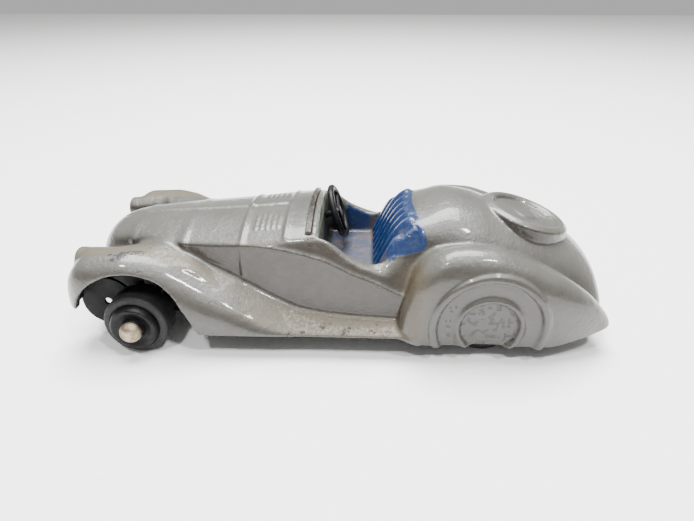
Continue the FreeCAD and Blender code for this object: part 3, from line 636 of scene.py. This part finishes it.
class ROADSTER_OT_casting(bpy.types.Operator):
    """Build the enamelled casting from its form"""
    bl_idname = "roadster.casting"
    bl_label = "Build Casting"

    def execute(self, context):
        props = context.scene.roadster_casting
        pitch = props.pitch * 1.0
        low, high = (-41.6, -16.9, 1.9), (41.6, 16.9, 21.9)
        points, quads = surface_net(casting_field, low, high, pitch)
        points = settle(casting_field, points, pitch * 0.5)
        points = relax(points, quads, 2, casting_field, pitch * 0.4)
        piece = mesh_object("body_shell", points * MM, quads)
        count = 2 * len(quads)
        if count > props.triangles:
            thin = piece.modifiers.new("thin", "DECIMATE")
            thin.ratio = props.triangles / count
            apply_modifiers(piece)
        piece.data.polygons.foreach_set("use_smooth", [True] * len(piece.data.polygons))
        self.paint(piece.data)
        piece.data.materials.clear()
        piece.data.materials.append(casting_enamel(props))
        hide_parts("body_casting")
        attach(piece, "chassis")
        print("casting triangles", sum(len(p.vertices) - 2 for p in piece.data.polygons))
        return {"FINISHED"}

    def paint(self, mesh):
        """Work out where paint, grime, wear and painted shade lie."""
        points, normals = mesh_points(mesh)
        x, y, z = points.T
        a = np.abs(y)
        outer = outer_field(x, y, z)
        reach = 0.7
        ahead = casting_field(*(points + reach * normals).T) / reach
        behind = -casting_field(*(points - reach * normals).T) / reach
        paint_attribute(mesh, "crease", ramp(1 - ahead, 0.12, 0.75))
        paint_attribute(mesh, "edge", ramp(1 - behind, 0.15, 0.6))
        room = tub_field(x, y, z)
        on_seat = (x < deck_edge(a) + 0.6) & (x > 3.8) & (z > FLOOR_Z + 0.15) & (a < 9.35) & (outer > -12)
        near_tub = (room > -1.2) & (room < 0.9)
        seat = on_seat & (room < 4.0) & (normals[:, 2] > -0.3) & (normals[:, 0] < 0.5)
        walls = (near_tub & (np.abs(normals[:, 2]) < 0.7) & (a > 8.6) & (a < 9.7) & (z < 15.5)
                 & (x > 0.5) & (x < 10))
        dash = (x > DASH_X - 0.35) & (x < DASH_X + 0.3) & (z > 9.8) & (a < 10.6) & (normals[:, 0] > 0.3)
        tub_floor = near_tub & (z < FLOOR_Z + 0.6) & (normals[:, 2] > 0.5)
        low_seat = seat & (z < FLOOR_Z + 0.7) & (x < 6.5)
        # Painted shade: the wheel wells and the casting's hidden inside are marked to be painted near-black,
        # standing for the shade in them.
        in_well = (x < -22.0) & (x > -39.2) & (z < 10.3) & (a > 4.5) & (a < 12.5)
        in_well |= (x < -21.0) & (a > 10.8) & (a < 15.0) & (outer < -0.35)
        inside = (outer < -WALL * 0.55) & ~near_tub & ~seat & ~dash & ~walls & behind_wall(x, a, z) | in_well
        paint_attribute(mesh, "seat", (seat | walls) * ramp(deck_edge(a) - x, -0.4, 0.4))
        paint_attribute(mesh, "rib", seat * ramp(seat_rib(y), 0.56, 0.6) * ramp(deck_edge(a) - x, 1.0, 2.0))
        paint_attribute(mesh, "tub", (tub_floor | low_seat).astype(float))
        paint_attribute(mesh, "dash", dash * ramp(z, 13.5, 15.5))
        # Painted shade: the space under the dash joins the same near-black mark.
        under_dash_shade = (x > DASH_X - 0.35) & (x < DASH_X + 1.0) & (z < 14.6) & (a < 9.6) & (z > FLOOR_Z)
        paint_attribute(mesh, "inner", (inside | under_dash_shade).astype(float))
        # Painted shade: upright outside faces, more so on the inner sides, get the mask for the dark brown
        # side shade.
        upright = ramp(-np.abs(normals[:, 2]), -0.75, -0.35) * (outer > -0.7)
        paint_attribute(mesh, "side_shade", upright * (0.6 + 0.35 * (a < 13.2)))
        on_board = 0.9 * ramp(-z, -9.5, -6.5) * ramp(normals[:, 2], 0.5, 0.9) * (a > 11.5)
        wing_inside = (ramp(normals[:, 2], 0.55, 0.9) * ramp(-x, -8.0, 12.0)
                       * ramp(a, 9.3, 10.3) * ramp(-a, -13.2, -12.2))
        fender_front = bump(x, 11.0, 1.6) * (a > 10.0) * (z > 4.0)
        paint_attribute(mesh, "dust", np.maximum(np.maximum(on_board, 0.8 * wing_inside), 0.6 * fender_front))
        ring = np.sqrt((x - REAR_AXLE_X) ** 2 + (z - RING_Z) ** 2)
        wing_marks = bump(np.hypot(x + 31.4, a - 13.2), 0, 1.5) + bump(np.hypot(x + 28.7, a - 12.0), 0, 0.9)
        worn_band = bump(ring, 6.2, 0.8) * ramp(-x, -20.0, -16.0)
        spat_marks = (a > 14.5) * (ramp(-ring, -4.4, -4.0) + worn_band) * 0.55
        marks = np.maximum(spat_marks, wing_marks * (z > 13.5) * (y < 0))
        paint_attribute(mesh, "stain", marks)


def behind_wall(x, a, z):
    """True away from the open cockpit, where the casting's inside can't be its painted tub."""
    return ~((x > DASH_X - 0.3) & (x < deck_edge(a)) & (z > FLOOR_Z - 0.4))


def bar_row():
    """A node tree that stands curved bars side by side around a rounded nose."""
    tree = bpy.data.node_groups.new("bar_row", "GeometryNodeTree")
    sockets = [("Count", "NodeSocketInt"), ("Spacing", "NodeSocketFloat"), ("Radius", "NodeSocketFloat"),
               ("Foot", "NodeSocketVector"), ("Middle", "NodeSocketVector"), ("Head", "NodeSocketVector"),
               ("Roundness", "NodeSocketFloat"), ("Material", "NodeSocketMaterial")]
    for name, kind in sockets:
        tree.interface.new_socket(name, in_out="INPUT", socket_type=kind)
    tree.interface.new_socket("Geometry", in_out="OUTPUT", socket_type="NodeSocketGeometry")
    given = tree.nodes.new("NodeGroupInput").outputs

    def add(kind, inputs, **settings):
        made = tree.nodes.new(kind)
        for key, value in settings.items():
            setattr(made, key, value)
        for key, value in inputs.items():
            if isinstance(value, bpy.types.NodeSocket):
                tree.links.new(value, made.inputs[key])
            else:
                made.inputs[key].default_value = value
        return made.outputs

    path = add("GeometryNodeCurveQuadraticBezier", {
        "Resolution": 14, "Start": given["Foot"], "Middle": given["Middle"], "End": given["Head"]})
    profile = add("GeometryNodeCurvePrimitiveCircle", {"Resolution": 10, "Radius": given["Radius"]})
    bar = add("GeometryNodeCurveToMesh", {
        "Curve": path[0], "Profile Curve": profile["Curve"], "Fill Caps": True})
    index = add("GeometryNodeInputIndex", {})
    last = add("ShaderNodeMath", {0: given["Count"], 1: 1.0}, operation="SUBTRACT")
    half = add("ShaderNodeMath", {0: last[0], 1: 0.5}, operation="MULTIPLY")
    step = add("ShaderNodeMath", {0: index[0], 1: half[0]}, operation="SUBTRACT")
    across = add("ShaderNodeMath", {0: step[0], 1: given["Spacing"]}, operation="MULTIPLY")
    square = add("ShaderNodeMath", {0: across[0], 1: across[0]}, operation="MULTIPLY")
    back = add("ShaderNodeMath", {0: square[0], 1: given["Roundness"]}, operation="MULTIPLY")
    place = add("ShaderNodeCombineXYZ", {"X": back[0], "Y": across[0]})
    stations = add("GeometryNodeMeshLine", {"Count": given["Count"]})
    spread = add("GeometryNodeSetPosition", {"Geometry": stations[0], "Position": place[0]})
    row = add("GeometryNodeInstanceOnPoints", {"Points": spread[0], "Instance": bar[0]})
    real = add("GeometryNodeRealizeInstances", {"Geometry": row[0]})
    smooth = add("GeometryNodeSetShadeSmooth", {"Geometry": real[0]})
    finished = add("GeometryNodeSetMaterial", {"Geometry": smooth[0], "Material": given["Material"]})
    tree.links.new(finished[0], tree.nodes.new("NodeGroupOutput").inputs[0])
    return tree


def tree_piece(name, tree, values):
    """A mesh piece made by a node tree with the given named inputs."""
    piece = mesh_object(name, np.zeros((1, 3)), np.empty((0, 3), int))
    modifier = piece.modifiers.new(tree.name, "NODES")
    modifier.node_group = tree
    identifiers = {item.name: item.identifier for item in tree.interface.items_tree if item.in_out == "INPUT"}
    for key, value in values.items():
        modifier[identifiers[key]] = value
    piece.update_tag()
    return apply_modifiers(piece)


class ROADSTER_OT_grille(bpy.types.Operator):
    """Stand the grille bars on the nose"""
    bl_idname = "roadster.grille"
    bl_label = "Build Grille Bars"

    def execute(self, context):
        props = context.scene.roadster_casting
        skin = Finish("grille_enamel", Coat_Weight=0.5, Coat_Roughness=0.15)
        grain = skin.noise(0.6, 4.0, 0.6)
        colour = skin.mixed(skin.between(grain, 0.4, 0.65), linear("#5E5E58"), linear("#34322E"))
        material = skin.finish(colour, skin.between(grain, 0.3, 0.7, 0.3, 0.5), None, grain, 0.03, 0.4)
        piece = tree_piece("grille_bars", bar_row(), {
            "Count": props.bars, "Spacing": props.bar_spacing, "Radius": props.bar_radius,
            "Foot": Vector((-40.12, 0.0, 5.2)) * MM, "Middle": Vector((-40.35, 0.0, 8.6)) * MM,
            "Head": Vector((-38.95, 0.0, 11.9)) * MM, "Roundness": 1 / (13 * MM), "Material": material,
        })
        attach(piece, "chassis")
        return {"FINISHED"}


class ROADSTER_OT_running_gear(bpy.types.Operator):
    """Give the baseplate, axles, hubs and tyres their finishes"""
    bl_idname = "roadster.running_gear"
    bl_label = "Finish Running Gear"

    def execute(self, context):
        plate = black_paint("baseplate_black", "#030304", "#111013", 0.5)
        hub_paint = black_paint("hub_black", "#08080A", "#2A282D", 0.36)
        rubber, steel = tyre_rubber(), axle_steel()
        for name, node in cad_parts.items():
            kinds = {"baseplate": plate, "hub": hub_paint, "tyre": rubber,
                     "front_axle": steel, "rear_axle": steel}
            for start, material in kinds.items():
                if name.startswith(start):
                    node.data.materials.clear()
                    node.data.materials.append(material)
        return {"FINISHED"}


class ROADSTER_OT_fittings(bpy.types.Operator):
    """Finish the steering wheel and the windscreen strip"""
    bl_idname = "roadster.fittings"
    bl_label = "Finish Fittings"

    def execute(self, context):
        finishes = {
            "steering_wheel": black_paint("steering_black", "#08080A", "#2E2D33", 0.36),
            "windscreen_stub": screen_celluloid(),
        }
        for name, material in finishes.items():
            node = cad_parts[name]
            node.data.materials.clear()
            node.data.materials.append(material)
        return {"FINISHED"}


class ROADSTER_OT_stage(bpy.types.Operator):
    """Set up the floor, the lights and the camera"""
    bl_idname = "roadster.stage"
    bl_label = "Build Stage"

    def execute(self, context):
        props = context.scene.roadster_studio
        half = props.floor / 2
        corners = np.array([(-half, -half, 0), (half, -half, 0), (half, half, 0), (-half, half, 0)], float)
        floor = mesh_object("pale_floor", corners, np.array([[0, 1, 2, 3]]))
        floor.data.materials.append(studio_paper("pale_paper", "#F7F7F6"))
        world = bpy.data.worlds.new("soft_room")
        world.use_nodes = True
        world.node_tree.nodes["Background"].inputs["Color"].default_value = (1.0, 1.0, 1.0, 1.0)
        world.node_tree.nodes["Background"].inputs["Strength"].default_value = props.room
        context.scene.world = world
        self.light("overhead", (0.0, 0.10, 0.42), (0.0, 0.0, 0.0), 0.30, props.key * 15)
        self.light("front_strip", (-0.10, -0.22, 0.42), (0.0, 0.0, 0.01), 0.04, props.key * 2.5)
        self.light("rear_strip", (0.17, -0.17, 0.40), (0.0, 0.0, 0.01), 0.04, props.key * 2.5)
        camera = bpy.data.objects.new("camera", bpy.data.cameras.new("camera"))
        context.scene.collection.objects.link(camera)
        camera.data.lens = props.lens
        camera.data.clip_start = 0.001
        look = Matrix.Rotation(props.yaw, 3, "Z") @ Matrix.Rotation(math.pi / 2 - props.pitch, 3, "X")
        camera.matrix_world = Matrix.Translation(Vector(props.eye) * MM) @ look.to_4x4()
        context.scene.camera = camera
        return {"FINISHED"}

    def light(self, name, place, target, size, power):
        """A square soft light that faces its target."""
        lamp = bpy.data.objects.new(name, bpy.data.lights.new(name, "AREA"))
        lamp.data.size = size
        lamp.data.energy = power
        lamp.location = place
        lamp.rotation_euler = (Vector(target) - Vector(place)).to_track_quat("-Z", "Y").to_euler()
        bpy.context.scene.collection.objects.link(lamp)


class ROADSTER_PT_panel(bpy.types.Panel):
    """Shows the roadster's settings and the buttons that build it"""
    bl_idname = "ROADSTER_PT_panel"
    bl_label = "Roadster"
    bl_space_type = "VIEW_3D"
    bl_region_type = "UI"
    bl_category = "Roadster"

    def draw(self, context):
        column = self.layout.column()
        for group in ("roadster_casting", "roadster_studio"):
            props = getattr(context.scene, group)
            for name in props.__annotations__:
                column.prop(props, name)
        for operator in OPERATORS:
            column.operator(operator.bl_idname)


OPERATORS = [ROADSTER_OT_casting, ROADSTER_OT_grille, ROADSTER_OT_running_gear, ROADSTER_OT_fittings,
             ROADSTER_OT_stage]
GROUPS = {"roadster_casting": RoadsterCasting, "roadster_studio": RoadsterStudio}


def register():
    for group in GROUPS.values():
        bpy.utils.register_class(group)
    for operator in OPERATORS + [ROADSTER_PT_panel]:
        bpy.utils.register_class(operator)
    for name, group in GROUPS.items():
        setattr(bpy.types.Scene, name, PointerProperty(type=group))


def unregister():
    for name in GROUPS:
        delattr(bpy.types.Scene, name)
    for item in [ROADSTER_PT_panel] + OPERATORS[::-1] + list(GROUPS.values()):
        bpy.utils.unregister_class(item)


def main():
    register()
    bpy.ops.roadster.casting()
    bpy.ops.roadster.grille()
    bpy.ops.roadster.running_gear()
    bpy.ops.roadster.fittings()
    bpy.ops.roadster.stage()


if __name__ == "__main__":
    main()
